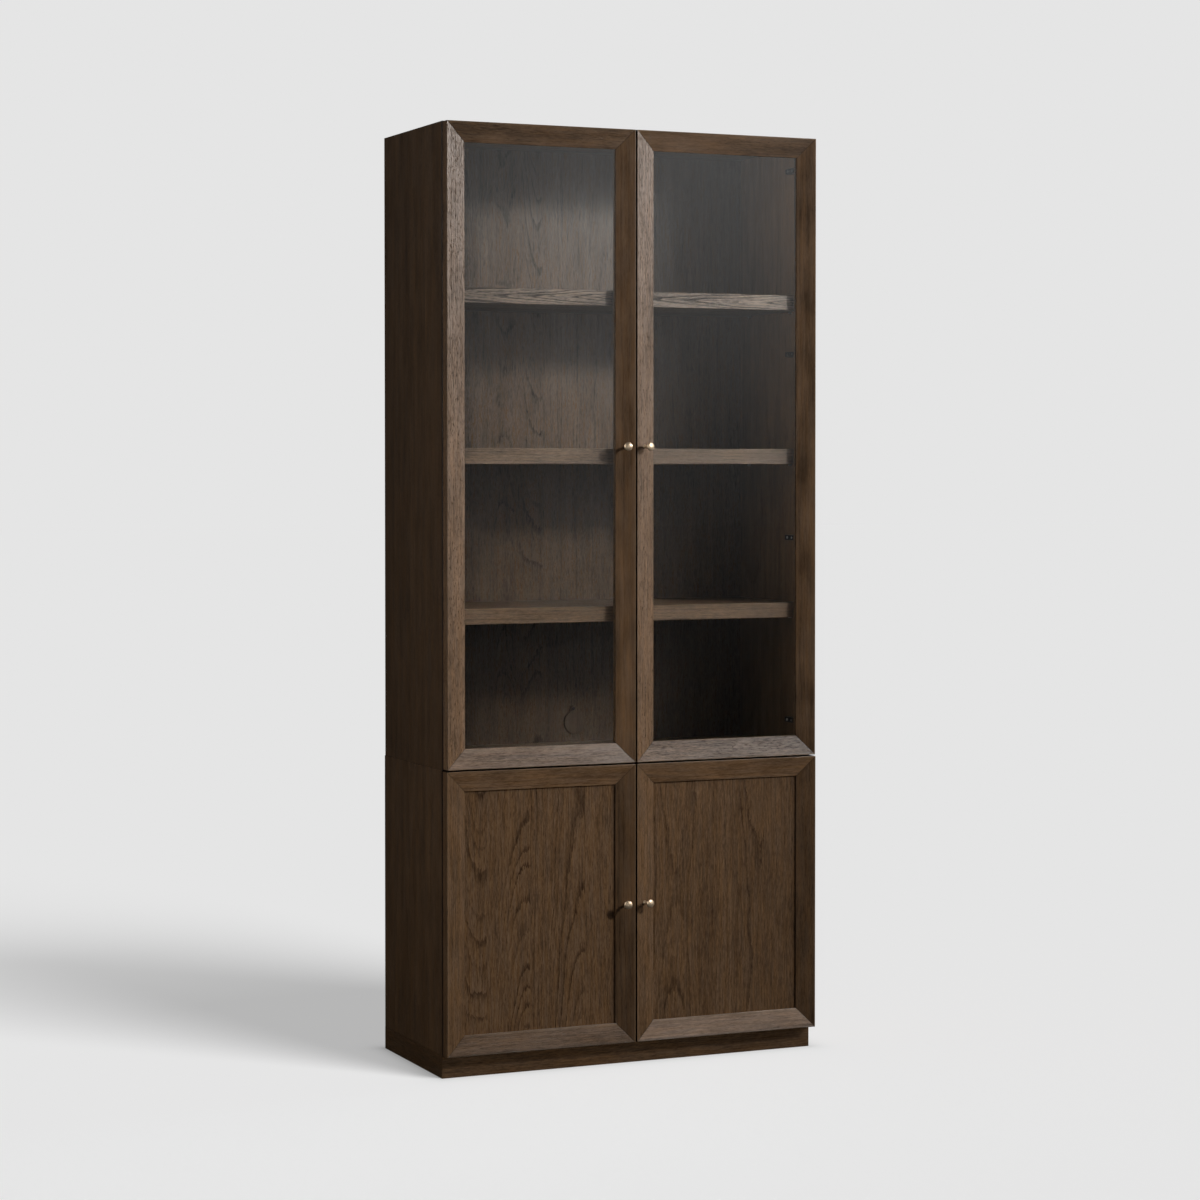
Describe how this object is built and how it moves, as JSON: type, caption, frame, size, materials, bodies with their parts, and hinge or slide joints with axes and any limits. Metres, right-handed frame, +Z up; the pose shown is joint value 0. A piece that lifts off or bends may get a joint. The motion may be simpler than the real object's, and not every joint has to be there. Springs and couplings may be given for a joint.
{
  "type": "bookcase with hinged doors",
  "caption": "Tall stacked display cabinet: glazed hinged doors over panelled hinged doors, bevelled mitred frames, shelves inside and a swivelling cable-port cover.",
  "frame": {"origin": "on the floor, at the middle of the box that holds the whole cabinet with its knobs", "axes": "+Z up, the cabinet's height; +X to the right seen from the front; +Y to the back, so the doors face -Y"},
  "size_m": [1.003, 0.47, 2.318],
  "materials": {
    "smoked_oak_frame": "solid oak, smoked dark brown, brushed and matt lacquered",
    "smoked_oak_veneer": "oak veneer, smoked dark brown, matt lacquered",
    "clear_glass": "clear flat glass",
    "aged_brass": "turned, satin, lightly aged",
    "black_hinge_metal": "black nickel plate",
    "steel_fasteners": "zinc plated"
  },
  "bodies": {
    "cabinet": {"cable_port_cover_screw": "black_hinge_metal", "hinge_arms": "black_hinge_metal", "hinge_pins": "steel_fasteners", "hinge_plates": "black_hinge_metal", "hinge_screws": "steel_fasteners", "lower_back_panel": "smoked_oak_veneer", "lower_bottom": "smoked_oak_veneer", "lower_left_side": "smoked_oak_veneer", "lower_right_side": "smoked_oak_veneer", "lower_shelf": "smoked_oak_veneer", "lower_top": "smoked_oak_veneer", "plinth_back": "smoked_oak_veneer", "plinth_front": "smoked_oak_veneer", "plinth_sides": "smoked_oak_veneer", "shelf_pins": "steel_fasteners", "unit_joining_bolts": "steel_fasteners", "upper_back_panel": "smoked_oak_veneer", "upper_bottom": "smoked_oak_veneer", "upper_left_side": "smoked_oak_veneer", "upper_right_side": "smoked_oak_veneer", "upper_shelf_bottom": "smoked_oak_veneer", "upper_shelf_middle": "smoked_oak_veneer", "upper_shelf_top": "smoked_oak_veneer", "upper_top": "smoked_oak_veneer"},
    "upper_left_door": {"upper_left_door_bottom_rail": "smoked_oak_frame", "upper_left_door_glass": "clear_glass", "upper_left_door_glass_beads": "smoked_oak_frame", "upper_left_door_hinge_cups": "black_hinge_metal", "upper_left_door_hinge_stile": "smoked_oak_frame", "upper_left_door_knob": "aged_brass", "upper_left_door_knob_screw": "steel_fasteners", "upper_left_door_lock_stile": "smoked_oak_frame", "upper_left_door_top_rail": "smoked_oak_frame"},
    "upper_right_door": {"upper_right_door_bottom_rail": "smoked_oak_frame", "upper_right_door_glass": "clear_glass", "upper_right_door_glass_beads": "smoked_oak_frame", "upper_right_door_hinge_cups": "black_hinge_metal", "upper_right_door_hinge_stile": "smoked_oak_frame", "upper_right_door_knob": "aged_brass", "upper_right_door_knob_screw": "steel_fasteners", "upper_right_door_lock_stile": "smoked_oak_frame", "upper_right_door_top_rail": "smoked_oak_frame"},
    "lower_left_door": {"lower_left_door_bottom_rail": "smoked_oak_frame", "lower_left_door_hinge_cups": "black_hinge_metal", "lower_left_door_hinge_stile": "smoked_oak_frame", "lower_left_door_knob": "aged_brass", "lower_left_door_knob_screw": "steel_fasteners", "lower_left_door_lock_stile": "smoked_oak_frame", "lower_left_door_panel": "smoked_oak_veneer", "lower_left_door_top_rail": "smoked_oak_frame"},
    "lower_right_door": {"lower_right_door_bottom_rail": "smoked_oak_frame", "lower_right_door_hinge_cups": "black_hinge_metal", "lower_right_door_hinge_stile": "smoked_oak_frame", "lower_right_door_knob": "aged_brass", "lower_right_door_knob_screw": "steel_fasteners", "lower_right_door_lock_stile": "smoked_oak_frame", "lower_right_door_panel": "smoked_oak_veneer", "lower_right_door_top_rail": "smoked_oak_frame"},
    "cable_port_cover": {"cable_port_cover": "smoked_oak_veneer"}
  },
  "joints": [
    {"name": "upper_left_door_hinge", "type": "hinge", "parent": "cabinet", "child": "upper_left_door", "pos_m": [-0.4925, -0.1895, 1.53425], "axis": [0, 0, -1], "range_deg": [0, 105]},
    {"name": "upper_right_door_hinge", "type": "hinge", "parent": "cabinet", "child": "upper_right_door", "pos_m": [0.4925, -0.1895, 1.53425], "axis": [0, 0, 1], "range_deg": [0, 105]},
    {"name": "lower_left_door_hinge", "type": "hinge", "parent": "cabinet", "child": "lower_left_door", "pos_m": [-0.494, -0.1895, 0.40225], "axis": [0, 0, -1], "range_deg": [0, 105]},
    {"name": "lower_right_door_hinge", "type": "hinge", "parent": "cabinet", "child": "lower_right_door", "pos_m": [0.494, -0.1895, 0.40225], "axis": [0, 0, 1], "range_deg": [0, 105]},
    {"name": "cable_port_cover_pivot", "type": "hinge", "parent": "cabinet", "child": "cable_port_cover", "pos_m": [-0.006, 0.1712, 0.858], "axis": [0, 1, 0], "continuous": true}
  ]
}
